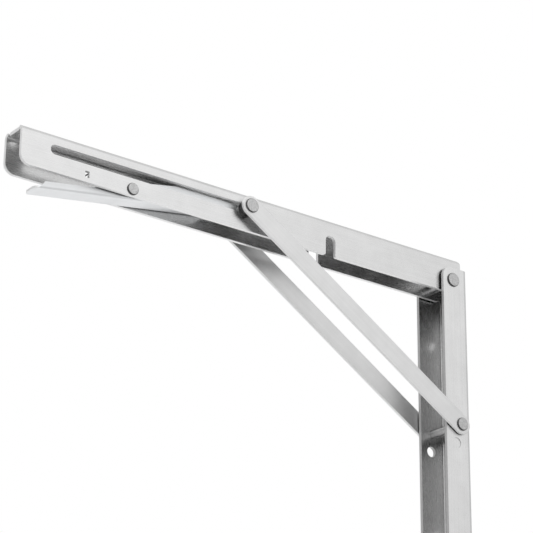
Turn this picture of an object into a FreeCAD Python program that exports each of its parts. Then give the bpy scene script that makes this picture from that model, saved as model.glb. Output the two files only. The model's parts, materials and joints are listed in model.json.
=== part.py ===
import FreeCAD, Part
import math
import os
import re
import Sketcher

# Folding shelf bracket: a wall leg, an arm that folds down, two brace bars
# that slide in the arm, and a sprung release lever in the arm.
# Origin: on the wall, in the bracket's middle plane, halfway between the two
# wall screws. +X points away from the wall, +Y to the right, +Z up.
# The arm stands open, as in use, and all lengths are in millimetres.

V = FreeCAD.Vector
ALONG_X = V(1, 0, 0)
ALONG_Y = V(0, 1, 0)
ALONG_Z = V(0, 0, 1)
NEAR = 1e-4
WIRE_SIDES = 8
doc = FreeCAD.newDocument("folding_shelf_bracket")

SIZES = {
    # Arm: a channel, open below, that carries the shelf
    "arm_length": 301.6,
    "arm_width": 18,
    "arm_height": 22.1,
    "arm_sheet": 2,
    "arm_tail": 8.6,
    "arm_pivot_rise": 6.7,
    "arm_tail_radius": 5.5,
    "arm_nose_radius": 6,
    "arm_crown_radius": 3.2,
    "arm_web_setback": 0.6,
    "relief_width": 1.1,
    "relief_depth": 1.8,
    "bend_inside": 1,
    # Wall leg: a channel, open away from the wall
    "leg_length": 180,
    "leg_depth": 18.7,
    "leg_sheet": 2,
    "leg_crown": 7.8,
    "leg_corner": 6,
    "leg_heel": 2.5,
    "pivot_reach": 11.2,
    "leg_hole": 6.2,
    "leg_hole_drop": 100.5,
    "dimple_depth": 0.4,
    # Screws that hold the leg to the wall and the shelf to the arm
    "screw_bore": 5.2,
    "screw_sink": 7.8,
    "screw_sink_angle": 90,
    "wall_screw_drop": 30.5,
    "wall_screw_foot": 25.7,
    "shelf_screw_reach": 24,
    "shelf_screw_gap": 31.2,
    "end_screw_inset": 7,
    # Brace: a flat bar on each side
    "bar_width": 11.6,
    "bar_sheet": 1.8,
    "foot_drop": 89.5,
    "foot_setback": 2.3,
    # Slot of the arm in which the brace's upper end slides
    "slide_inset": 143.8,
    "slide_rise": 6.2,
    "slot_height": 5.6,
    "slot_end_inset": 17.6,
    # Notch of the arm that takes the foot pin when the arm is folded
    "notch_width": 7,
    "notch_rise": 5.7,
    "notch_lip": 1,
    # Release lever: a small channel, open above, with side plates
    "lever_inset": 69.1,
    "lever_drop": 2.8,
    "lever_gap": 1,
    "lever_sheet": 1.5,
    "lever_bend": 1.2,
    "lever_seat": 4.8,
    "lever_web_start": 14.3,
    "handle_end_inset": 11,
    "handle_side": 4.2,
    "handle_lip": 4,
    "handle_lip_corner": 4.5,
    "ear_corner": 2,
    "ear_start_inset": 47,
    "ear_rise": 5.4,
    "lock_rise": 8.3,
    "lock_floor_rise": 3.6,
    "lock_share": 0.575,
    "ramp_share": 0.289,
    "lock_gap": 1,
    # Rivets, washers and bushes
    "main_shank": 6,
    "main_head": 8.4,
    "main_washer": 11,
    "washer_sheet": 1,
    "foot_shank": 5.2,
    "foot_head": 7.6,
    "foot_washer": 9.6,
    "foot_washer_sheet": 0.5,
    "lever_shank": 4,
    "lever_head": 6.8,
    "lever_washer": 7.4,
    "slide_head": 8.2,
    "slide_flange": 8,
    "slide_flange_sheet": 0.6,
    "slide_bush": 9,
    "top_shank": 4.4,
    "head_height": 0.9,
    "head_edge": 0.3,
    # Spring that swings the lever back
    "wire": 0.8,
    "coil_mean": 5.2,
    "coil_turns": 3,
    "coil_pitch": 0.9,
    "hook_inset": 40.5,
    "hook_drop": 2.3,
    "hook_hole_width": 2.6,
    "hook_hole_height": 3.8,
    "free_leg": 22,
    # Clearances
    "side_play": 0.1,
    "thin_play": 0.05,
    "slot_play": 0.1,
    "running_fit": 0.06,
    "seated_fit": 0.02,
    "bar_gap": 0.3,
}

# Places worked out from the sizes
PLACES = {
    "wall_screw_pitch": "(leg_length - leg_crown - wall_screw_drop - wall_screw_foot)",
    "pivot_height": "(wall_screw_drop + wall_screw_pitch / 2)",
    "arm_near": "(pivot_reach - arm_tail)",
    "arm_far": "(arm_near + arm_length)",
    "arm_low": "(pivot_height - arm_pivot_rise)",
    "arm_top": "(arm_low + arm_height)",
    "arm_under": "(arm_top - arm_sheet)",
    "arm_half": "(arm_width / 2)",
    "arm_inside": "(arm_half - arm_sheet)",
    "arm_flat": "(arm_inside - bend_inside)",
    "leg_inside": "(arm_half + washer_sheet + 2 * side_play)",
    "leg_half": "(leg_inside + leg_sheet)",
    "leg_top": "(pivot_height + leg_crown)",
    "leg_low": "(leg_top - leg_length)",
    "bar_inside": "(leg_half + foot_washer_sheet + 2 * thin_play)",
    "bar_outside": "(bar_inside + bar_sheet)",
    "foot_x": "(pivot_reach - foot_setback)",
    "foot_z": "(pivot_height - foot_drop)",
    "slide_x": "(arm_far - slide_inset)",
    "slide_z": "(pivot_height + slide_rise)",
    "slide_shank": "(slot_height - 2 * slot_play)",
    "slot_near": "(slide_x - slide_shank / 2 - 2 * slot_play)",
    "slot_far": "(arm_far - slot_end_inset)",
    "first_screw_x": "(pivot_reach + shelf_screw_reach)",
    "second_screw_x": "(slide_x - shelf_screw_gap)",
    "end_screw_x": "(arm_far - end_screw_inset)",
    "lever_x": "(arm_far - lever_inset)",
    "lever_z": "(pivot_height - lever_drop)",
    "lever_half": "(arm_inside - lever_gap)",
    "lever_inside": "(lever_half - lever_sheet)",
    "handle_x": "(arm_far - handle_end_inset)",
    "plate_x": "(handle_x - handle_lip)",
    "ear_x": "(arm_far - ear_start_inset)",
    "lock_x": "(slide_x + slide_shank / 2 + lock_gap)",
    "lock_z": "(pivot_height + lock_rise)",
    "lock_reach": "(lever_x - lock_x)",
    "lock_back": "(lock_x + lock_share * lock_reach)",
    "ramp_end": "(lock_back + ramp_share * lock_reach)",
    "web_start": "(lock_x + lever_web_start)",
    "fall": "((lock_floor_rise + lever_drop + lever_seat) / lock_reach)",
    "web_rise": "(lever_sheet * sqrt(1 + fall ^ 2))",
    "notch_x": "(pivot_reach + foot_drop)",
    "hook_x": "(arm_far - hook_inset)",
    "hook_z": "(pivot_height - hook_drop)",
}


def make_sheet(label, cells):
    """A sheet with one aliased cell for each name."""
    sheet = doc.addObject("Spreadsheet::Sheet", label)
    for row, (name, content) in enumerate(cells.items(), start=1):
        sheet.set("A%d" % row, name)
        sheet.set("B%d" % row, str(content))
        sheet.setAlias("B%d" % row, name)
    doc.recompute()
    return sheet


def place_formula(text):
    """An expression for the places' own sheet, with each size written as a cell of the sizes' sheet."""
    return re.sub(r"[a-z][a-z_]+", lambda found: cell_name(found.group(0), ""), text)


def formula(text):
    """An expression with each name written as a cell of its sheet."""
    return re.sub(r"[a-z][a-z_]+", lambda found: cell_name(found.group(0), "Places."), text)


def cell_name(name, prefix):
    if name in SIZES:
        return "Sizes." + name
    if name in PLACES:
        return prefix + name
    return name


def value_of(text):
    """The present value of an expression, read back from a spare cell."""
    places.set("D1", "=" + formula(text))
    places.recompute()
    found = places.get("D1")
    return float(getattr(found, "Value", found))


def bind(thing, prop, text):
    thing.setExpression(prop, formula(text))


def make_body(label):
    body = doc.addObject("PartDesign::Body", label)
    body.Label = label
    return body


def make_sketch(body, name, plane, offset="0"):
    """An empty sketch on one of the body's own planes, moved along the plane's normal."""
    sketch = body.newObject("Sketcher::SketchObject", name)
    base = [item for item in body.Origin.OriginFeatures if item.Role == plane][0]
    sketch.AttachmentSupport = [(base, "")]
    sketch.MapMode = "FlatFace"
    bind(sketch, "AttachmentOffset.Base.z", offset)
    return sketch


def pin_one_way(sketch, kind, piece, end, text):
    """Hold one point of the sketch at one distance from its origin, DistanceX or DistanceY."""
    number = sketch.addConstraint(Sketcher.Constraint(kind, -1, 1, piece, end, value_of(text)))
    bind(sketch, "Constraints[%d]" % number, text)


def pin_point(sketch, piece, end, across, along):
    """Hold one point of the sketch at two distances from its origin."""
    pin_one_way(sketch, "DistanceX", piece, end, across)
    pin_one_way(sketch, "DistanceY", piece, end, along)


def draw_outline(sketch, corners):
    """A closed outline of straight sides through corners given as expressions."""
    first = sketch.GeometryCount
    count = len(corners)
    spots = [V(value_of(across), value_of(along), 0) for across, along in corners]
    for turn in range(count):
        sketch.addGeometry(Part.LineSegment(spots[turn], spots[(turn + 1) % count]))
    for turn in range(count):
        following = first + (turn + 1) % count
        sketch.addConstraint(Sketcher.Constraint("Coincident", first + turn, 2, following, 1))
        pin_point(sketch, first + turn, 1, *corners[turn])


def draw_box(sketch, left, low, right, high):
    draw_outline(sketch, [(left, low), (right, low), (right, high), (left, high)])


def draw_circle(sketch, across, along, diameter):
    middle = V(value_of(across), value_of(along), 0)
    number = sketch.addGeometry(Part.Circle(middle, V(0, 0, 1), value_of(diameter) / 2))
    pin_point(sketch, number, 3, across, along)
    size = sketch.addConstraint(Sketcher.Constraint("Diameter", number, value_of(diameter)))
    bind(sketch, "Constraints[%d]" % size, diameter)


def draw_slot(sketch, left, right, along, height):
    """A level slot with round ends; left and right are its extreme ends."""
    first = sketch.GeometryCount
    up = math.pi / 2
    half = value_of(height) / 2
    start = V(value_of(left) + half, value_of(along), 0)
    stop = V(value_of(right) - half, value_of(along), 0)
    rise = V(0, half, 0)
    sketch.addGeometry(Part.ArcOfCircle(Part.Circle(start, V(0, 0, 1), half), up, 3 * up))
    sketch.addGeometry(Part.ArcOfCircle(Part.Circle(stop, V(0, 0, 1), half), -up, up))
    sketch.addGeometry(Part.LineSegment(start - rise, stop - rise))
    sketch.addGeometry(Part.LineSegment(stop + rise, start + rise))
    sketch.addConstraint(Sketcher.Constraint("Tangent", first, 2, first + 2, 1))
    sketch.addConstraint(Sketcher.Constraint("Tangent", first + 2, 2, first + 1, 1))
    sketch.addConstraint(Sketcher.Constraint("Tangent", first + 1, 2, first + 3, 1))
    sketch.addConstraint(Sketcher.Constraint("Tangent", first + 3, 2, first, 1))
    pin_point(sketch, first, 3, "%s + %s / 2" % (left, height), along)
    pin_point(sketch, first + 1, 3, "%s - %s / 2" % (right, height), along)
    size = sketch.addConstraint(Sketcher.Constraint("Radius", first, half))
    bind(sketch, "Constraints[%d]" % size, "%s / 2" % height)


def draw_notch(sketch, middle, low, high, width):
    """An upright notch, round at its upper end."""
    first = sketch.GeometryCount
    half = value_of(width) / 2
    centre = V(value_of(middle), value_of(high) - half, 0)
    drop = V(0, centre.y - value_of(low), 0)
    side = V(half, 0, 0)
    sketch.addGeometry(Part.ArcOfCircle(Part.Circle(centre, V(0, 0, 1), half), 0, math.pi))
    sketch.addGeometry(Part.LineSegment(centre - side, centre - side - drop))
    sketch.addGeometry(Part.LineSegment(centre - side - drop, centre + side - drop))
    sketch.addGeometry(Part.LineSegment(centre + side - drop, centre + side))
    sketch.addConstraint(Sketcher.Constraint("Tangent", first, 2, first + 1, 1))
    sketch.addConstraint(Sketcher.Constraint("Coincident", first + 1, 2, first + 2, 1))
    sketch.addConstraint(Sketcher.Constraint("Coincident", first + 2, 2, first + 3, 1))
    sketch.addConstraint(Sketcher.Constraint("Tangent", first + 3, 2, first, 1))
    pin_point(sketch, first, 3, middle, "%s - %s / 2" % (high, width))
    pin_point(sketch, first + 1, 2, "%s - %s / 2" % (middle, width), low)
    sketch.addConstraint(Sketcher.Constraint("Horizontal", first + 2))
    size = sketch.addConstraint(Sketcher.Constraint("Radius", first, half))
    bind(sketch, "Constraints[%d]" % size, "%s / 2" % width)


def draw_corner(sketch, across, along, radius, outward, upward):
    """The waste outside one rounded corner; outward and upward say which way the corner points."""
    first = sketch.GeometryCount
    size = value_of(radius)
    tip = V(value_of(across), value_of(along), 0)
    centre = tip - V(outward * size, upward * size, 0)
    flat = centre + V(0, upward * size, 0)
    steep = centre + V(outward * size, 0, 0)
    start = 0 if outward > 0 else math.pi / 2
    if upward < 0:
        start = math.pi if outward < 0 else -math.pi / 2
    arc = Part.ArcOfCircle(Part.Circle(centre, V(0, 0, 1), size), start, start + math.pi / 2)
    flat_end = 2 if (arc.EndPoint - flat).Length < NEAR else 1
    sketch.addGeometry(arc)
    above = flat + V(0, upward * size, 0)
    outer = tip + V(outward * size, upward * size, 0)
    beside = steep + V(outward * size, 0, 0)
    for start_spot, end_spot in ((flat, above), (above, outer), (outer, beside), (beside, steep)):
        sketch.addGeometry(Part.LineSegment(start_spot, end_spot))
    sketch.addConstraint(Sketcher.Constraint("Coincident", first, flat_end, first + 1, 1))
    for side in range(1, 4):
        sketch.addConstraint(Sketcher.Constraint("Coincident", first + side, 2, first + side + 1, 1))
    sketch.addConstraint(Sketcher.Constraint("Coincident", first + 4, 2, first, 3 - flat_end))
    level = "%s - (%d) * %s" % (across, outward, radius)
    height = "%s - (%d) * %s" % (along, upward, radius)
    pin_point(sketch, first, 3, level, height)
    pin_point(sketch, first + 1, 1, level, along)
    pin_one_way(sketch, "DistanceY", first + 4, 2, height)
    pin_point(sketch, first + 2, 1, level, "%s + (%d) * %s" % (along, upward, radius))
    pin_point(sketch, first + 3, 2, "%s + (%d) * %s" % (across, outward, radius), height)
    for side, kind in ((2, "Horizontal"), (3, "Vertical")):
        sketch.addConstraint(Sketcher.Constraint(kind, first + side))


def pad(body, sketch, name, length, symmetric=True, reverse=False):
    feature = body.newObject("PartDesign::Pad", name)
    feature.Profile = sketch
    feature.SideType = "Symmetric" if symmetric else "One side"
    feature.Reversed = reverse
    bind(feature, "Length", length)
    doc.recompute()
    return feature


def pocket(body, sketch, name, length, symmetric=True, reverse=False):
    """Cut the sketch out of the body, and make sure that material went."""
    before = body.Shape.Volume
    feature = body.newObject("PartDesign::Pocket", name)
    feature.Profile = sketch
    feature.SideType = "Symmetric" if symmetric else "One side"
    feature.Reversed = reverse
    bind(feature, "Length", length)
    doc.recompute()
    if body.Shape.Volume >= before:
        raise RuntimeError("%s of %s cuts nothing" % (name, body.Label))
    return feature


def sink_holes(body, sketch, name, reverse):
    """Countersunk screw holes through the sheet that the sketch lies on."""
    before = body.Shape.Volume
    feature = body.newObject("PartDesign::Hole", name)
    feature.Profile = sketch
    doc.recompute()
    feature.ThreadType = "None"
    feature.DepthType = "ThroughAll"
    feature.HoleCutType = "Countersink"
    feature.HoleCutCustomValues = True
    feature.Reversed = reverse
    bind(feature, "Diameter", "screw_bore")
    bind(feature, "HoleCutDiameter", "screw_sink")
    bind(feature, "HoleCutCountersinkAngle", "screw_sink_angle")
    doc.recompute()
    if body.Shape.Volume >= before:
        raise RuntimeError("%s of %s cuts nothing" % (name, body.Label))
    return feature


def straight_edges(shape, axis, wanted):
    """Names of the straight edges along an axis whose middle passes a test."""
    names = []
    for number, edge in enumerate(shape.Edges, start=1):
        if edge.Curve.TypeId != "Part::GeomLine":
            continue
        if close(abs(edge.Curve.Direction.dot(axis)), 1) and wanted(edge.CenterOfMass):
            names.append("Edge%d" % number)
    return names


def round_edges(body, name, axis, wanted, radius):
    """Round the chosen straight edges of the body's present shape."""
    tip = body.Tip
    names = straight_edges(tip.Shape, axis, wanted)
    if not names:
        raise RuntimeError("%s of %s finds no edge" % (name, body.Label))
    feature = body.newObject("PartDesign::Fillet", name)
    feature.Base = (tip, names)
    bind(feature, "Radius", radius)
    doc.recompute()
    return feature


def close(first, second):
    return abs(first - second) < NEAR


def make_arm():
    """Channel under the shelf with a slot and a notch in both walls."""
    body = make_body("arm_channel")
    outline = make_sketch(body, "arm_side", "XZ_Plane")
    draw_box(outline, "arm_near", "arm_low", "arm_far", "arm_top")
    pad(body, outline, "arm_block", "arm_width")
    hollow = make_sketch(body, "arm_hollow_side", "XZ_Plane")
    draw_box(hollow, "arm_near - arm_sheet", "arm_low - arm_sheet", "arm_far + arm_sheet", "arm_under")
    pocket(body, hollow, "arm_hollow", "2 * arm_inside")

    box = body.Shape.BoundBox
    sheet = value_of("arm_sheet")
    round_edges(body, "arm_outer_bends", ALONG_X,
                lambda at: close(at.z, box.ZMax) and close(abs(at.y), box.YMax), "bend_inside + arm_sheet")
    round_edges(body, "arm_inner_bends", ALONG_X,
                lambda at: close(at.z, box.ZMax - sheet) and close(abs(at.y), box.YMax - sheet), "bend_inside")
    round_edges(body, "arm_tail_corners", ALONG_Y,
                lambda at: close(at.x, box.XMin) and close(at.z, box.ZMin), "arm_tail_radius")
    round_edges(body, "arm_nose_corners", ALONG_Y,
                lambda at: close(at.x, box.XMax) and close(at.z, box.ZMin), "arm_nose_radius")
    crown = make_sketch(body, "arm_crown_side", "XZ_Plane")
    draw_corner(crown, "arm_near", "arm_top", "arm_crown_radius", -1, 1)
    pocket(body, crown, "arm_crown", "2 * arm_width")
    cut_arm_end(body)

    walls = make_sketch(body, "arm_wall_cuts", "XZ_Plane")
    draw_slot(walls, "slot_near", "slot_far", "slide_z", "slot_height")
    draw_circle(walls, "pivot_reach", "pivot_height", "main_shank + 2 * running_fit")
    draw_circle(walls, "lever_x", "lever_z", "lever_shank + 2 * seated_fit")
    pocket(body, walls, "arm_slot_and_pivots", "2 * arm_width")

    notch = make_sketch(body, "arm_notch_side", "XZ_Plane")
    draw_notch(notch, "notch_x", "arm_low - arm_sheet", "pivot_height + notch_rise", "notch_width")
    pocket(body, notch, "arm_notch", "2 * arm_width")
    middle = value_of("notch_x")
    half = value_of("notch_width / 2")
    round_edges(body, "arm_notch_lips", ALONG_Y,
                lambda at: close(at.z, box.ZMin) and close(abs(at.x - middle), half), "notch_lip")

    hook = make_sketch(body, "arm_hook_hole_side", "XZ_Plane")
    draw_box(hook, "hook_x - hook_hole_width / 2", "hook_z - hook_hole_height / 2",
             "hook_x + hook_hole_width / 2", "hook_z + hook_hole_height / 2")
    pocket(body, hook, "arm_hook_hole", "arm_width", symmetric=False)

    screws = make_sketch(body, "arm_screw_places", "XY_Plane", "arm_under")
    for place in ("first_screw_x", "second_screw_x", "end_screw_x"):
        draw_circle(screws, place, "0", "screw_bore")
    sink_holes(body, screws, "arm_screw_holes", True)
    return body


def cut_arm_end(body):
    """Set the web back a little at the free end, with a relief cut beside each bend."""
    step = make_sketch(body, "arm_web_end", "XY_Plane", "arm_top")
    draw_box(step, "arm_far - arm_web_setback", "-arm_flat", "arm_far + arm_sheet", "arm_flat")
    pocket(body, step, "arm_web_step", "2 * arm_sheet")
    reliefs = make_sketch(body, "arm_relief_places", "XY_Plane", "arm_top")
    draw_box(reliefs, "arm_far - relief_depth", "arm_flat - relief_width", "arm_far + arm_sheet", "arm_flat")
    draw_box(reliefs, "arm_far - relief_depth", "-arm_flat", "arm_far + arm_sheet", "relief_width - arm_flat")
    pocket(body, reliefs, "arm_reliefs", "2 * arm_sheet")


def make_leg():
    """Channel on the wall; the arm pivots between the tops of its flanges."""
    body = make_body("wall_channel")
    outline = make_sketch(body, "leg_side", "XZ_Plane")
    draw_box(outline, "0", "leg_low", "leg_depth", "leg_top")
    pad(body, outline, "leg_block", "2 * leg_half")
    hollow = make_sketch(body, "leg_hollow_side", "XZ_Plane")
    draw_box(hollow, "leg_sheet", "leg_low - leg_sheet", "leg_depth + leg_sheet", "leg_top + leg_sheet")
    pocket(body, hollow, "leg_hollow", "2 * leg_inside")

    box = body.Shape.BoundBox
    sheet = value_of("leg_sheet")
    round_edges(body, "leg_outer_bends", ALONG_Z,
                lambda at: close(at.x, box.XMin) and close(abs(at.y), box.YMax), "bend_inside + leg_sheet")
    round_edges(body, "leg_inner_bends", ALONG_Z,
                lambda at: close(at.x, box.XMin + sheet) and close(abs(at.y), box.YMax - sheet), "bend_inside")
    round_edges(body, "leg_top_corners", ALONG_Y,
                lambda at: close(at.x, box.XMax) and close(at.z, box.ZMax), "leg_corner")
    round_edges(body, "leg_foot_corners", ALONG_Y,
                lambda at: close(at.x, box.XMax) and close(at.z, box.ZMin), "leg_heel")

    flanges = make_sketch(body, "leg_flange_cuts", "XZ_Plane")
    draw_circle(flanges, "pivot_reach", "pivot_height", "main_shank + 2 * seated_fit")
    draw_circle(flanges, "foot_x", "foot_z", "foot_shank + 2 * seated_fit")
    pocket(body, flanges, "leg_pivots", "4 * leg_half")

    hole = make_sketch(body, "leg_hole_side", "XZ_Plane")
    draw_circle(hole, "pivot_reach", "pivot_height - leg_hole_drop", "leg_hole")
    pocket(body, hole, "leg_left_hole", "2 * leg_half", symmetric=False, reverse=True)
    dimple = make_sketch(body, "leg_dimple_side", "XZ_Plane", "dimple_depth - leg_half")
    draw_circle(dimple, "pivot_reach", "pivot_height - leg_hole_drop", "leg_hole")
    pocket(body, dimple, "leg_right_dimple", "2 * dimple_depth", symmetric=False)

    screws = make_sketch(body, "leg_screw_places", "YZ_Plane", "leg_sheet")
    draw_circle(screws, "0", "wall_screw_pitch / 2", "screw_bore")
    draw_circle(screws, "0", "-wall_screw_pitch / 2", "screw_bore")
    sink_holes(body, screws, "leg_screw_holes", False)
    return body


def make_bar(label, side):
    """One flat brace bar with round ends, drawn along X and then tilted."""
    body = make_body(label)
    rise = "(slide_z - foot_z)"
    run = "(slide_x - foot_x)"
    span = "sqrt(%s ^ 2 + %s ^ 2)" % (rise, run)
    outline = make_sketch(body, label + "_side", "XZ_Plane")
    draw_slot(outline, "-bar_width / 2", "%s + bar_width / 2" % span, "0", "bar_width")
    draw_circle(outline, "0", "0", "foot_shank + 2 * running_fit")
    draw_circle(outline, span, "0", "top_shank + 2 * seated_fit")
    pad(body, outline, label + "_plate", "bar_sheet")
    body.Placement.Rotation = FreeCAD.Rotation(V(0, 1, 0), 0)
    bind(body, "Placement.Base.x", "foot_x")
    bind(body, "Placement.Base.y", "%d * (bar_inside + bar_outside) / 2" % side)
    bind(body, "Placement.Base.z", "foot_z")
    bind(body, "Placement.Rotation.Angle", "-atan(%s / %s)" % (rise, run))
    return body


def lever_under(place):
    """Height of the lever's sloping underside at a place along the arm."""
    return "(lever_z - lever_seat + (lever_x - %s) * fall)" % place


def make_lever():
    """Channel with a handle at one end and, at the other, plates that stop the slide pin."""
    body = make_body("release_lever")
    plates = make_sketch(body, "lever_side", "XZ_Plane")
    draw_outline(plates, [
        ("handle_x", lever_under("handle_x")),
        ("handle_x - handle_side * fall", lever_under("handle_x") + " + handle_side"),
        ("ear_x", lever_under("ear_x") + " + handle_side"),
        ("lever_x + ear_rise / 2", "lever_z + ear_rise"),
        ("ramp_end", "lock_z - (ramp_end - lock_back) * fall - lever_sheet / 2"),
        ("lock_back", "lock_z"),
        ("lock_x", "lock_z"),
        ("lock_x", lever_under("lock_x")),
    ])
    pad(body, plates, "lever_block", "2 * lever_half")

    hollow = make_sketch(body, "lever_hollow_side", "XZ_Plane")
    past_handle = "(handle_x + arm_width)"
    past_lock = "(lock_x - arm_width)"
    above = "(lock_z + lever_sheet)"
    draw_outline(hollow, [
        (past_handle, lever_under(past_handle) + " + web_rise"),
        (past_handle, above),
        (past_lock, above),
        (past_lock, lever_under(past_lock) + " - web_rise"),
        ("web_start", lever_under("web_start") + " - web_rise"),
        ("web_start", lever_under("web_start") + " + web_rise"),
    ])
    pocket(body, hollow, "lever_hollow", "2 * lever_inside")

    pivot = make_sketch(body, "lever_pivot_side", "XZ_Plane")
    draw_circle(pivot, "lever_x", "lever_z", "lever_shank + 2 * running_fit")
    pocket(body, pivot, "lever_pivot_holes", "2 * arm_width")
    round_lever(body)

    lip = make_sketch(body, "lever_lip_side", "XZ_Plane")
    draw_outline(lip, [
        ("plate_x", lever_under("plate_x") + " + web_rise"),
        (past_handle, lever_under(past_handle) + " + web_rise"),
        (past_handle, above),
        ("plate_x - handle_side / 2", above),
        ("plate_x - handle_side / 2", lever_under("plate_x") + " + handle_side"),
    ])
    pocket(body, lip, "lever_lip", "2 * arm_width")
    corners = make_sketch(body, "lever_lip_corner_places", "XY_Plane", "arm_top")
    draw_corner(corners, "handle_x", "lever_half", "handle_lip_corner", 1, 1)
    draw_corner(corners, "handle_x", "-lever_half", "handle_lip_corner", 1, -1)
    pocket(body, corners, "lever_lip_corners", "2 * arm_length")
    return body


def round_lever(body):
    """Round the ears, the lock's nose and the two long bends."""
    box = body.Shape.BoundBox
    ear_tops = [(value_of("ear_x"), value_of(lever_under("ear_x") + " + handle_side")),
                (value_of("lever_x + ear_rise / 2"), value_of("lever_z + ear_rise"))]
    round_edges(body, "lever_ear_corners", ALONG_Y,
                lambda at: any(close(at.x, x) and close(at.z, z) for x, z in ear_tops), "ear_corner")
    round_edges(body, "lever_lock_corner", ALONG_Y,
                lambda at: close(at.x, box.XMin) and close(at.z, box.ZMax), "lever_sheet / 2")
    fall = value_of("fall")
    slope = V(1, 0, -fall)
    slope.normalize()
    round_edges(body, "lever_bends", slope,
                lambda at: close(abs(at.y), box.YMax) and close(at.z, box.ZMin + (box.XMax - at.x) * fall),
                "lever_bend")


def make_turned(label, across, along, profile):
    """A turned piece: (place along Y, radius) corners spun about an axis along Y."""
    body = make_body(label)
    sketch = make_sketch(body, label + "_profile", "YZ_Plane")
    draw_outline(sketch, profile)
    spin = body.newObject("PartDesign::Revolution", label + "_spin")
    spin.Profile = sketch
    spin.ReferenceAxis = (sketch, ["H_Axis"])
    spin.Angle = 360
    bind(body, "Placement.Base.x", across)
    bind(body, "Placement.Base.z", along)
    return body


def through_rivet(label, across, along, shank, head, seat):
    """A shank with a flat head at each end; seat is the half length under the heads."""
    rim = "%s / 2 - head_edge" % head
    tip = "(%s + head_height)" % seat
    return make_turned(label, across, along, [
        ("-%s" % tip, "0"),
        ("%s" % tip, "0"),
        ("%s" % tip, rim),
        ("%s - head_edge" % tip, "%s / 2" % head),
        (seat, "%s / 2" % head),
        (seat, "%s / 2" % shank),
        ("-%s" % seat, "%s / 2" % shank),
        ("-%s" % seat, "%s / 2" % head),
        ("head_edge - %s" % tip, "%s / 2" % head),
        ("-%s" % tip, rim),
    ])


def ring(label, across, along, bore, outer, near, far, side):
    """A washer or bush between two places along Y on one side."""
    inner = "(%s) / 2" % bore
    rim = "(%s) / 2" % outer
    return make_turned(label, across, along, [
        ("%d * (%s)" % (side, near), inner),
        ("%d * (%s)" % (side, far), inner),
        ("%d * (%s)" % (side, far), rim),
        ("%d * (%s)" % (side, near), rim),
    ])


def slide_stud(label, side):
    """Flanged stud in the arm's slot; it ends just short of the brace bar."""
    flange_far = "(arm_inside - side_play)"
    tip = "(bar_inside - bar_gap)"
    return make_turned(label, "slide_x", "slide_z", [
        ("%d * (%s - slide_flange_sheet)" % (side, flange_far), "0"),
        ("%d * %s" % (side, tip), "0"),
        ("%d * %s" % (side, tip), "slide_shank / 2"),
        ("%d * %s" % (side, flange_far), "slide_shank / 2"),
        ("%d * %s" % (side, flange_far), "slide_flange / 2"),
        ("%d * (%s - slide_flange_sheet)" % (side, flange_far), "slide_flange / 2"),
    ])


def top_rivet(label, side):
    """Headed rivet in the upper end of one brace bar."""
    seat = "bar_outside"
    tip = "(bar_outside + head_height)"
    return make_turned(label, "slide_x", "slide_z", [
        ("%d * bar_inside" % side, "0"),
        ("%d * %s" % (side, tip), "0"),
        ("%d * %s" % (side, tip), "slide_head / 2 - head_edge"),
        ("%d * (%s - head_edge)" % (side, tip), "slide_head / 2"),
        ("%d * %s" % (side, seat), "slide_head / 2"),
        ("%d * %s" % (side, seat), "top_shank / 2"),
        ("%d * bar_inside" % side, "top_shank / 2"),
    ])


def make_spring():
    """Torsion spring on the lever's rivet: one leg hooks the arm's wall, one lies over the lever's web."""
    radius = value_of("coil_mean / 2")
    pitch = value_of("coil_pitch")
    middle = V(value_of("lever_x"), 0, value_of("lever_z"))
    hook = V(value_of("hook_x"), 0, value_of("hook_z"))
    aim = hook - middle
    reach = math.hypot(aim.x, aim.z)
    hook_leg = math.sqrt(reach ** 2 - radius ** 2)
    start_angle = 90 + math.degrees(math.atan2(aim.z, aim.x) - math.asin(radius / reach))
    turns = value_of("coil_turns") + (270 - start_angle) / 360
    coil = Part.makeHelix(pitch, turns * pitch, radius)
    coil.rotate(V(0, 0, 0), V(1, 0, 0), 90)
    coil.rotate(V(0, 0, 0), V(0, -1, 0), start_angle)
    coil.translate(middle + V(0, turns * pitch / 2, 0))
    edge = coil.Edges[0]
    first = edge.valueAt(edge.FirstParameter)
    last = edge.valueAt(edge.LastParameter)
    arriving = edge.tangentAt(edge.FirstParameter)
    leaving = edge.tangentAt(edge.LastParameter)
    corner = first - arriving * hook_leg
    poke = V(corner.x, value_of("arm_half + wire"), corner.z)
    free_end = last + leaving * value_of("free_leg")
    path = Part.Wire([
        Part.LineSegment(poke, corner).toShape(),
        Part.LineSegment(corner, first).toShape(),
        edge,
        Part.LineSegment(last, free_end).toShape(),
    ])
    ring_of_corners = [
        poke + FreeCAD.Rotation(ALONG_Y, turn * 360 / WIRE_SIDES).multVec(V(value_of("wire / 2"), 0, 0))
        for turn in range(WIRE_SIDES + 1)]
    section = Part.makePolygon(ring_of_corners)
    spring = doc.addObject("Part::Feature", "lever_spring")
    spring.Label = "lever_spring"
    spring.Shape = path.makePipeShell([section], True, True, 2)
    return spring


sizes = make_sheet("Sizes", SIZES)
places = make_sheet("Places", {name: "=" + place_formula(text) for name, text in PLACES.items()})

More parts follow.
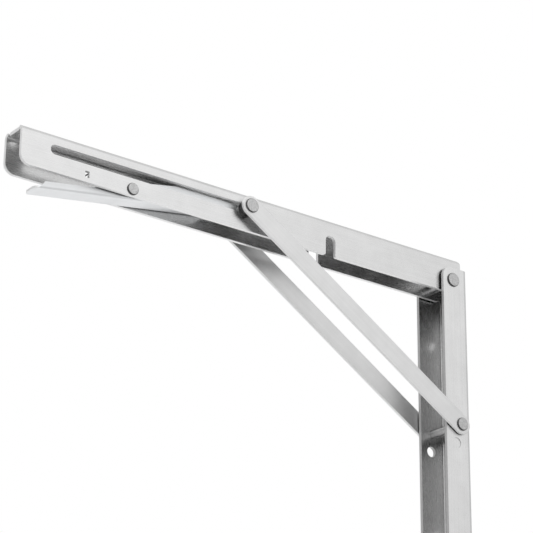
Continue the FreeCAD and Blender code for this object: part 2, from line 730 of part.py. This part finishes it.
pieces = [make_leg(), make_arm(), make_lever()]
for hand, side in (("right", 1), ("left", -1)):
    pieces += [
        make_bar("brace_bar_" + hand, side),
        ring("pivot_washer_" + hand, "pivot_reach", "pivot_height", "main_shank + 2 * running_fit",
             "main_washer", "arm_half + side_play", "arm_half + side_play + washer_sheet", side),
        ring("foot_washer_" + hand, "foot_x", "foot_z", "foot_shank + 2 * running_fit",
             "foot_washer", "leg_half + thin_play", "leg_half + thin_play + foot_washer_sheet", side),
        ring("lever_washer_" + hand, "lever_x", "lever_z", "lever_shank + 2 * running_fit",
             "lever_washer", "lever_half + side_play", "arm_inside - side_play", side),
        ring("slide_bush_" + hand, "slide_x", "slide_z", "slide_shank + 2 * running_fit",
             "slide_bush", "arm_half + side_play", "bar_inside - bar_gap", side),
        slide_stud("slide_stud_" + hand, side),
        top_rivet("brace_top_rivet_" + hand, side),
    ]
pieces += [
    through_rivet("main_pivot_rivet", "pivot_reach", "pivot_height", "main_shank", "main_head",
                  "(leg_half + thin_play)"),
    through_rivet("foot_rivet", "foot_x", "foot_z", "foot_shank", "foot_head", "(bar_outside + thin_play)"),
    through_rivet("lever_rivet", "lever_x", "lever_z", "lever_shank", "lever_head", "(arm_half + thin_play)"),
    make_spring(),
]
doc.recompute()

for item in doc.Objects:
    if "Invalid" in item.State or "Error" in item.State:
        raise RuntimeError("%s did not build" % item.Name)
for piece in pieces:
    if piece.Shape.isNull() or not piece.Shape.isValid() or len(piece.Shape.Solids) != 1:
        raise RuntimeError("%s is not one sound solid" % piece.Label)

os.makedirs("parts", exist_ok=True)
for piece in pieces:
    piece.Shape.exportStep("parts/%s.step" % piece.Label)
    box = piece.Shape.BoundBox
    print("%-22s x %.2f..%.2f  y %.2f..%.2f  z %.2f..%.2f  volume %.0f" % (
        piece.Label, box.XMin, box.XMax, box.YMin, box.YMax, box.ZMin, box.ZMax, piece.Shape.Volume))
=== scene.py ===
import json
import math

import bmesh
import bpy
from mathutils import Matrix, Vector


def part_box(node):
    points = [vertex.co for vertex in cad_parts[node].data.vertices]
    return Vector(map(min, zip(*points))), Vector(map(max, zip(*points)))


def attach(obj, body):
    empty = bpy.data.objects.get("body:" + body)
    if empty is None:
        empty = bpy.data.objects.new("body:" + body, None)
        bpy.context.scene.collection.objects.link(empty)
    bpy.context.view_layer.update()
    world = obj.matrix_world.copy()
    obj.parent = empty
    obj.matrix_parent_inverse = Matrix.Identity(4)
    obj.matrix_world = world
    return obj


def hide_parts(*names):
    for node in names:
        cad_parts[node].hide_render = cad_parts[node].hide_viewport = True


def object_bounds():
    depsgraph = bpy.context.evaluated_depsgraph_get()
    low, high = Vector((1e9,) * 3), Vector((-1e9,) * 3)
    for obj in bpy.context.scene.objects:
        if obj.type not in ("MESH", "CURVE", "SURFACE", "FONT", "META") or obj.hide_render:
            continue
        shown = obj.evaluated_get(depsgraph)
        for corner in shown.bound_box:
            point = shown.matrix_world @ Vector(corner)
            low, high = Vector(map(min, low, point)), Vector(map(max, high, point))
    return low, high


# Folding shelf bracket in brushed stainless steel, seen from below and from its right side.
# Lengths are in metres, in the part's frame: +X out from the wall, +Y to the right, +Z up.

MM = 0.001

# Camera
CAMERA_AT = Vector((0.79655, 0.88950, -0.38742))
CAMERA_BACK = Vector((0.54949, 0.74355, -0.38105))
CAMERA_UP = Vector((0.23557, 0.29969, 0.92450))
CAMERA_LENS = 144.8
CAMERA_SENSOR = 36.0
CAMERA_NEAR = 0.05
CAMERA_FAR = 50.0

# Broken edges of the sheet pieces and of the turned ones
SHEET_EDGE = 0.3 * MM
TURNED_EDGE = 0.2 * MM
EDGE_STEPS = 2
SHARP_ANGLE = math.radians(28)
FLAT_ANGLE = math.radians(1)
WELD = 0.002 * MM
KEEP_FLAT = 100

# What tells cut faces from sheet surfaces: how far a normal leans, and where the face lies
CUT_FACE = 0.5
TURNED_FACE = 0.9
HEAD_FROM = 9 * MM
ARM_BEND = 3.2 * MM
LEG_BEND = 3.2 * MM
LEVER_SHEET = 1.6 * MM
LEVER_TILT = math.radians(8.9)

# Brushed steel: the sizes of its features and the shades each of them gives. EDGE_LEAN is the cosine between the
# rounded and the true normal, from where an edge gets the full painted highlight to where it gets none
SCRATCH = (22 * MM, 0.16 * MM)
SCRATCH_SHADE = (0.975, 1.015)
SCRATCH_DULLNESS = 0.03
SCRATCH_DEPTH = 0.02 * MM
SCRATCH_STRENGTH = 0.1
STREAK = (70 * MM, 1.3 * MM)
STREAK_SHADE = (0.97, 1.02)
CLOUD = (13 * MM, 11 * MM, 13 * MM)
CLOUD_SHADE = (0.955, 1.035)
CLOUD_DULLNESS = 0.02
SPECK = (0.7 * MM, 0.7 * MM, 0.7 * MM)
PIT_DEPTH = 0.05 * MM
PIT_STRENGTH = 0.04
# Painted highlight along the edges: its width and its near-white colour
EDGE_HIGHLIGHT_WIDTH = 0.35 * MM
EDGE_HIGHLIGHT_COLOUR = (0.95, 0.95, 0.95, 1.0)
EDGE_LEAN = (0.80, 0.985)
EDGE_SAMPLES = 6

# Painted shade: the colour darkens where other metal stands near by, in gaps and deep inside a channel. Listed are
# the reach, then the darkest shade and the openness where it begins to lift and where it is gone
GAP_REACH = 8 * MM
GAPS = (0.8, 0.25, 0.8)
INSIDE_REACH = 60 * MM
INSIDE = (0.9, 0.0, 0.1)
GAP_SAMPLES = 8

# Torn metal of a sheared edge
TEAR = (0.5 * MM, 0.9 * MM, 0.5 * MM)
TEAR_SHADE = (0.82, 1.04)
TEAR_ROUGHNESS = (0.36, 0.5)
TEAR_DEPTH = 0.04 * MM
TEAR_STRENGTH = 0.3
TEAR_METALLIC = 0.45

# The part of its range that a noise texture mostly fills
NOISE_LOW = 0.3
NOISE_HIGH = 0.7

# Sockets of a colour mix node
MIX_FIRST = 6
MIX_SECOND = 7
MIX_RESULT = 2

# Floor
FLOOR_LEVEL = -0.9
FLOOR_HALF = 4.0
FLOOR_COLOUR = (0.9, 0.9, 0.9, 1.0)
FLOOR_ROUGHNESS = 0.9
FLOOR_GLOW = 0.4
FLOOR_SHINE = 0.08
WHITE = (1.0, 1.0, 1.0, 1.0)

# World: its light on rough surfaces, and in reflections a soft white side and the room around it
WORLD_LIGHT = 0.7
SOFTBOX_WAY = (0.20, 1.57, 0.93)
SOFTBOX_LEVEL = -0.55
ROOM_WAY = (0.0, 0.0, 0.22)
ROOM_LEVEL = 0.57

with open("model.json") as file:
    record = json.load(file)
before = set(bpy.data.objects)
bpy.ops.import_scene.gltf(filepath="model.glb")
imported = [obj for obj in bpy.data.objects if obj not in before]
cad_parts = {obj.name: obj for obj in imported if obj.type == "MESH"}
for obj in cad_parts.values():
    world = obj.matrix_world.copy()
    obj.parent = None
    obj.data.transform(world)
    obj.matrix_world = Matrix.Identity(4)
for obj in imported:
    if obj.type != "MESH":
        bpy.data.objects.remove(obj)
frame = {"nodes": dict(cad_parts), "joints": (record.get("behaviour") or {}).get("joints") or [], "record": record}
cad_low, cad_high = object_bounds()
nodes = frame["nodes"]
arm_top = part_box("arm_channel")[1].z
lever_low, lever_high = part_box("release_lever")


def joint_place(name):
    """Where a hinge's axis crosses the middle plane."""
    return Vector(next(joint["pos_m"] for joint in frame["joints"] if joint["name"] == name))


def body_of(node):
    """The body that a node belongs to."""
    bodies = frame["record"]["behaviour"]["bodies"]
    return next(body for body, members in bodies.items() if node in members)


# Shader nodes

def new_material(name):
    """An empty material, with its node tree and its shader."""
    material = bpy.data.materials.new(name)
    material.use_nodes = True
    return material, material.node_tree, material.node_tree.nodes["Principled BSDF"]


def noise(tree, coords, size, turn=0.0, detail=4.0, rough=0.55):
    """Noise whose features measure size = (x, y, z) after a turn about Y."""
    place = tree.nodes.new("ShaderNodeMapping")
    place.vector_type = "TEXTURE"
    place.inputs["Scale"].default_value = size
    place.inputs["Rotation"].default_value = (0.0, turn, 0.0)
    texture = tree.nodes.new("ShaderNodeTexNoise")
    texture.inputs["Scale"].default_value = 1.0
    texture.inputs["Detail"].default_value = detail
    texture.inputs["Roughness"].default_value = rough
    tree.links.new(coords.outputs["Object"], place.inputs["Vector"])
    tree.links.new(place.outputs["Vector"], texture.inputs["Vector"])
    return texture.outputs["Fac"]


def spread(tree, value, low, high, start=NOISE_LOW, stop=NOISE_HIGH):
    """A value between start and stop brought into the range low to high."""
    node = tree.nodes.new("ShaderNodeMapRange")
    node.inputs["From Min"].default_value = start
    node.inputs["From Max"].default_value = stop
    node.inputs["To Min"].default_value = low
    node.inputs["To Max"].default_value = high
    tree.links.new(value, node.inputs["Value"])
    return node.outputs["Result"]


def combine(tree, operation, first, second):
    """A maths node of one value with another, or with a plain number."""
    node = tree.nodes.new("ShaderNodeMath")
    node.operation = operation
    tree.links.new(first, node.inputs[0])
    if isinstance(second, float):
        node.inputs[1].default_value = second
    else:
        tree.links.new(second, node.inputs[1])
    return node.outputs["Value"]


def dot_product(tree, first):
    """A dot product of a vector, whose second vector is still to be set."""
    node = tree.nodes.new("ShaderNodeVectorMath")
    node.operation = "DOT_PRODUCT"
    tree.links.new(first, node.inputs[0])
    return node


def tinted(tree, colour, shade):
    """A colour made lighter and darker by a shade around 1."""
    node = tree.nodes.new("ShaderNodeVectorMath")
    node.operation = "SCALE"
    node.inputs[0].default_value = colour
    tree.links.new(shade, node.inputs["Scale"])
    return node.outputs["Vector"]


def bump(tree, height, strength, depth):
    """A relief of the given depth from a texture."""
    node = tree.nodes.new("ShaderNodeBump")
    node.inputs["Strength"].default_value = strength
    node.inputs["Distance"].default_value = depth
    tree.links.new(height, node.inputs["Height"])
    return node


def edge_mask(tree, radius):
    """Near 1 on an edge of the surface and 0 away from it."""
    bevel = tree.nodes.new("ShaderNodeBevel")
    bevel.samples = EDGE_SAMPLES
    bevel.inputs["Radius"].default_value = radius
    geometry = tree.nodes.new("ShaderNodeNewGeometry")
    dot = dot_product(tree, bevel.outputs["Normal"])
    tree.links.new(geometry.outputs["Normal"], dot.inputs[1])
    return spread(tree, dot.outputs["Value"], 1.0, 0.0, *EDGE_LEAN)


def painted_shade_near_metal(tree, reach, darkest, closed, clear):
    """Painted shade: falls from 1 in the open to darkest where other metal stands close by."""
    shade = tree.nodes.new("ShaderNodeAmbientOcclusion")
    shade.samples = GAP_SAMPLES
    shade.inputs["Distance"].default_value = reach
    return spread(tree, shade.outputs["AO"], darkest, 1.0, start=closed, stop=clear)


# Materials

def grey(level):
    return (level, level, level)


def along(axis, feature):
    """The size of a feature that is long on one axis and narrow on the other two."""
    length, width = feature
    return tuple(length if letter == axis else width for letter in "xyz")


def brushed_steel(name, colour, turn=0.0, roughness=0.27, long_axis="x", mottle=0.0, edge_highlight=0.5,
                  gaps=GAPS, inside=None):
    """Satin stainless steel with grain along one axis, clouds and specks, painted shade near other metal and
    painted highlights on its edges.
    """
    material, tree, shader = new_material(name)
    shader.inputs["Metallic"].default_value = 1.0
    coords = tree.nodes.new("ShaderNodeTexCoord")
    scratches = noise(tree, coords, along(long_axis, SCRATCH), turn)
    streaks = noise(tree, coords, along(long_axis, STREAK), turn, detail=3.0)
    clouds = noise(tree, coords, CLOUD, turn, rough=0.6)
    specks = noise(tree, coords, SPECK, turn, detail=2.0)

    # Grain, clouds and specks, times painted shade where other metal stands near by
    shade = spread(tree, streaks, *STREAK_SHADE)
    more = [spread(tree, clouds, *CLOUD_SHADE), spread(tree, scratches, *SCRATCH_SHADE),
            spread(tree, specks, 1.0 - mottle, 1.0 + mottle / 3), painted_shade_near_metal(tree, GAP_REACH, *gaps)]
    if inside:
        more.append(painted_shade_near_metal(tree, INSIDE_REACH, *inside))
    for other in more:
        shade = combine(tree, "MULTIPLY", shade, other)

    # Painted highlight: the colour is mixed towards near-white along the edges, by the weight given
    highlighted_edges = tree.nodes.new("ShaderNodeMix")
    highlighted_edges.data_type = "RGBA"
    highlighted_edges.inputs[MIX_SECOND].default_value = EDGE_HIGHLIGHT_COLOUR
    edge_highlight_mask = combine(tree, "MULTIPLY", edge_mask(tree, EDGE_HIGHLIGHT_WIDTH), edge_highlight)
    tree.links.new(edge_highlight_mask, highlighted_edges.inputs["Factor"])
    tree.links.new(tinted(tree, colour, shade), highlighted_edges.inputs[MIX_FIRST])
    tree.links.new(highlighted_edges.outputs[MIX_RESULT], shader.inputs["Base Color"])

    dull = combine(tree, "ADD",
                   spread(tree, scratches, roughness - SCRATCH_DULLNESS, roughness + SCRATCH_DULLNESS),
                   spread(tree, clouds, -CLOUD_DULLNESS, CLOUD_DULLNESS))
    tree.links.new(dull, shader.inputs["Roughness"])

    lines = bump(tree, scratches, SCRATCH_STRENGTH, SCRATCH_DEPTH)
    pits = bump(tree, specks, PIT_STRENGTH + mottle, PIT_DEPTH)
    tree.links.new(lines.outputs["Normal"], pits.inputs["Normal"])
    tree.links.new(pits.outputs["Normal"], shader.inputs["Normal"])
    return material


def sheared_edge(name, colour):
    """The finely torn metal of a cut edge."""
    material, tree, shader = new_material(name)
    shader.inputs["Metallic"].default_value = TEAR_METALLIC
    torn = noise(tree, tree.nodes.new("ShaderNodeTexCoord"), TEAR)
    tree.links.new(tinted(tree, colour, spread(tree, torn, *TEAR_SHADE)), shader.inputs["Base Color"])
    tree.links.new(spread(tree, torn, *TEAR_ROUGHNESS), shader.inputs["Roughness"])
    relief = bump(tree, torn, TEAR_STRENGTH, TEAR_DEPTH)
    tree.links.new(relief.outputs["Normal"], shader.inputs["Normal"])
    return material


def arm_steel():
    return brushed_steel("arm_steel", grey(0.755), gaps=(0.7, 0.25, 0.7))


def leg_steel():
    # The leg's channel also gets a wide painted shade deep inside
    return brushed_steel("leg_steel", grey(0.79), long_axis="z", inside=(0.72, 0.0, 0.65))


def bar_steel():
    """The bars' steel, with its grain along the line from the foot pivot to the slide pin."""
    foot = joint_place("brace_swing")
    low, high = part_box("slide_bush_right")
    run = (low + high) / 2 - foot
    tilt = -math.atan2(run.z, run.x)
    return brushed_steel("bar_steel", grey(0.77), turn=tilt, roughness=0.4, gaps=(0.9, 0.25, 0.8))


def lever_steel():
    return brushed_steel("lever_steel", (0.82, 0.83, 0.84), turn=LEVER_TILT, roughness=0.42,
                         gaps=(0.95, 0.25, 0.8))


def rivet_steel():
    return brushed_steel("rivet_steel", grey(0.62), roughness=0.33, long_axis="y", mottle=0.35, edge_highlight=0.1,
                         inside=INSIDE)


def head_side_shade_steel():
    """The side of rivet heads and washers, near-black: painted shade."""
    return brushed_steel("rivet_side_painted_shade", grey(0.1), roughness=0.45, long_axis="y", edge_highlight=0.0,
                         inside=INSIDE)


def washer_steel():
    return brushed_steel("washer_steel", grey(0.6), roughness=0.32, long_axis="y", inside=INSIDE)


# Near-black spring wire: painted shade
def wire_painted_shade():
    return brushed_steel("wire_painted_shade", (0.08, 0.08, 0.085), roughness=0.3, inside=INSIDE)


# Pieces

def arm_edge(place, normal):
    """Cut faces of the arm: its ends, the walls' lower edges and the rims of the slot and holes."""
    under_web = place.z < arm_top - ARM_BEND
    return abs(normal.x) > CUT_FACE or (under_web and abs(normal.y) < CUT_FACE)


def leg_edge(place, normal):
    """Cut faces of the wall leg: its ends, the flanges' front edges and the rims of its holes."""
    in_flange = place.x > LEG_BEND
    return abs(normal.z) > CUT_FACE or (in_flange and abs(normal.y) < CUT_FACE)


def bar_edge(place, normal):
    """A bar's narrow sides and round ends."""
    return abs(normal.y) < CUT_FACE


def lever_edge(place, normal):
    """Cut faces of the lever: its ends and the plates' upper edges."""
    in_plate = abs(place.y) > lever_high.y - LEVER_SHEET
    underside = lever_low.z + (lever_high.x - place.x) * math.tan(LEVER_TILT)
    above_floor = place.z - underside > LEVER_SHEET
    return abs(normal.x) > CUT_FACE or (in_plate and above_floor and abs(normal.y) < CUT_FACE)


def head_side(place, normal):
    """The round side and the chamfer of a head or washer, but not the shaft between the walls."""
    return abs(normal.y) < TURNED_FACE and abs(place.y) > HEAD_FROM


def soften(node, width, surface, edge, is_edge):
    """Replace a node by a copy with broken edges, whose faces that pass is_edge look like edge."""
    mesh = nodes[node].data.copy()
    mesh.name = node + "_softened"
    mesh.materials.clear()
    mesh.materials.append(surface)
    mesh.materials.append(edge)
    work = bmesh.new()
    work.from_mesh(mesh)
    bmesh.ops.remove_doubles(work, verts=work.verts, dist=WELD)
    bmesh.ops.dissolve_limit(work, angle_limit=FLAT_ANGLE, verts=work.verts, edges=work.edges)
    for face in work.faces:
        face.smooth = True
        face.material_index = int(is_edge(face.calc_center_median(), face.normal))
    work.to_mesh(mesh)
    work.free()

    piece = bpy.data.objects.new(node + "_piece", mesh)
    bpy.context.scene.collection.objects.link(piece)
    bevel = piece.modifiers.new("broken_edges", "BEVEL")
    bevel.width = width
    bevel.segments = EDGE_STEPS
    bevel.limit_method = "ANGLE"
    bevel.angle_limit = SHARP_ANGLE
    even = piece.modifiers.new("flat_faces_stay_flat", "WEIGHTED_NORMAL")
    even.weight = KEEP_FLAT
    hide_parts(node)
    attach(piece, body_of(node))


def dress_sheet_metal():
    """Channels, bars and lever, each with its grain along its own length."""
    # Torn metal on every cut face; its colour is painted light: near-white, a painted highlight, on the arm, bars
    # and lever, and darker grey, painted shade, on the leg
    cut = sheared_edge("cut_edge", grey(0.93))
    leg_cut_shaded = sheared_edge("leg_cut_edge_shaded", grey(0.55))
    bar = bar_steel()
    for node, surface, edge, is_edge in (("arm_channel", arm_steel(), cut, arm_edge),
                                         ("wall_channel", leg_steel(), leg_cut_shaded, leg_edge),
                                         ("brace_bar_right", bar, cut, bar_edge),
                                         ("brace_bar_left", bar, cut, bar_edge),
                                         ("release_lever", lever_steel(), cut, lever_edge)):
        soften(node, SHEET_EDGE, surface, edge, is_edge)


def dress_turned_pieces():
    """Rivets, studs, washers and bushes in a duller, slightly mottled steel; the round sides of their heads are
    near-black, painted shade.
    """
    rivet = rivet_steel()
    washer = washer_steel()
    # Near-black painted shade for the heads' round sides
    side = head_side_shade_steel()
    for node in sorted(nodes):
        if "rivet" in node or "stud" in node:
            soften(node, TURNED_EDGE, rivet, side, head_side)
        elif "washer" in node or "bush" in node:
            soften(node, TURNED_EDGE, washer, side, head_side)


def dress_spring():
    """The spring keeps its shape and gets a near-black wire, painted shade where it shows in its hole."""
    materials = nodes["lever_spring"].data.materials
    materials.clear()
    materials.append(wire_painted_shade())


# Stage

def make_floor():
    """A wide pale floor below the bracket, which still takes its shadow."""
    corners = [(x * FLOOR_HALF, y * FLOOR_HALF, FLOOR_LEVEL)
               for x, y in ((-1, -1), (1, -1), (1, 1), (-1, 1))]
    mesh = bpy.data.meshes.new("floor")
    mesh.from_pydata(corners, [], [(0, 1, 2, 3)])
    floor = bpy.data.objects.new("floor", mesh)
    bpy.context.scene.collection.objects.link(floor)

    material, tree, shader = new_material("pale_floor")
    shader.inputs["Base Color"].default_value = FLOOR_COLOUR
    shader.inputs["Roughness"].default_value = FLOOR_ROUGHNESS
    shader.inputs["Emission Color"].default_value = WHITE
    rays = tree.nodes.new("ShaderNodeLightPath")
    glow = combine(tree, "MULTIPLY", rays.outputs["Is Camera Ray"], FLOOR_GLOW)
    shine = combine(tree, "MULTIPLY", rays.outputs["Is Glossy Ray"], FLOOR_SHINE)
    tree.links.new(combine(tree, "MAXIMUM", glow, shine), shader.inputs["Emission Strength"])
    mesh.materials.append(material)


def slope(tree, direction, way, level):
    """A brightness that is level to the sides and grows as a direction turns towards way."""
    dot = dot_product(tree, direction)
    dot.inputs[1].default_value = way
    return combine(tree, "ADD", dot.outputs["Value"], level)


def make_world():
    """White behind the object; in its reflections one soft white side and a dimmer room around."""
    world = bpy.data.worlds.new("studio")
    bpy.context.scene.world = world
    world.use_nodes = True
    tree = world.node_tree
    back = tree.nodes["Background"]
    back.inputs["Color"].default_value = WHITE

    direction = tree.nodes.new("ShaderNodeTexCoord").outputs["Generated"]
    softbox = slope(tree, direction, SOFTBOX_WAY, SOFTBOX_LEVEL)
    room = slope(tree, direction, ROOM_WAY, ROOM_LEVEL)
    reflected = tree.nodes.new("ShaderNodeClamp")
    tree.links.new(combine(tree, "MAXIMUM", softbox, room), reflected.inputs["Value"])

    rays = tree.nodes.new("ShaderNodeLightPath")
    glossy = combine(tree, "MULTIPLY", rays.outputs["Is Glossy Ray"], reflected.outputs["Result"])
    seen = combine(tree, "MAXIMUM", rays.outputs["Is Camera Ray"], glossy)
    light = combine(tree, "MULTIPLY", rays.outputs["Is Diffuse Ray"], WORLD_LIGHT)
    tree.links.new(combine(tree, "MAXIMUM", seen, light), back.inputs["Strength"])


def make_light(name, place, size, power):
    """A square lamp that points at the middle of the bracket."""
    lamp = bpy.data.lights.new(name, "AREA")
    lamp.shape = "SQUARE"
    lamp.size = size
    lamp.energy = power
    thing = bpy.data.objects.new(name, lamp)
    bpy.context.scene.collection.objects.link(thing)
    thing.location = place
    thing.visible_camera = False
    thing.rotation_mode = "QUATERNION"
    middle = (cad_low + cad_high) / 2
    thing.rotation_quaternion = (middle - Vector(place)).to_track_quat("-Z", "Y")


def make_lights():
    """A soft key from above on the right, and weak fills from the wall side and from below."""
    make_light("key", place=(0.9, 0.8, 1.3), size=1.6, power=5.0)
    make_light("side", place=(-0.7, 1.2, 0.7), size=1.4, power=0.75)
    make_light("below", place=(-0.6, -0.9, -0.75), size=0.8, power=1.3)


def make_camera():
    """The photograph's view."""
    data = bpy.data.cameras.new("camera")
    data.sensor_width = CAMERA_SENSOR
    data.lens = CAMERA_LENS
    data.clip_start = CAMERA_NEAR
    data.clip_end = CAMERA_FAR
    camera = bpy.data.objects.new("camera", data)
    bpy.context.scene.collection.objects.link(camera)
    back = CAMERA_BACK.normalized()
    right = CAMERA_UP.cross(back).normalized()
    turn = Matrix((right, back.cross(right), back)).transposed().to_4x4()
    camera.matrix_world = Matrix.Translation(CAMERA_AT) @ turn
    bpy.context.scene.camera = camera


dress_sheet_metal()
dress_turned_pieces()
dress_spring()
make_floor()
make_world()
make_lights()
make_camera()
bpy.context.scene.view_settings.view_transform = "Standard"
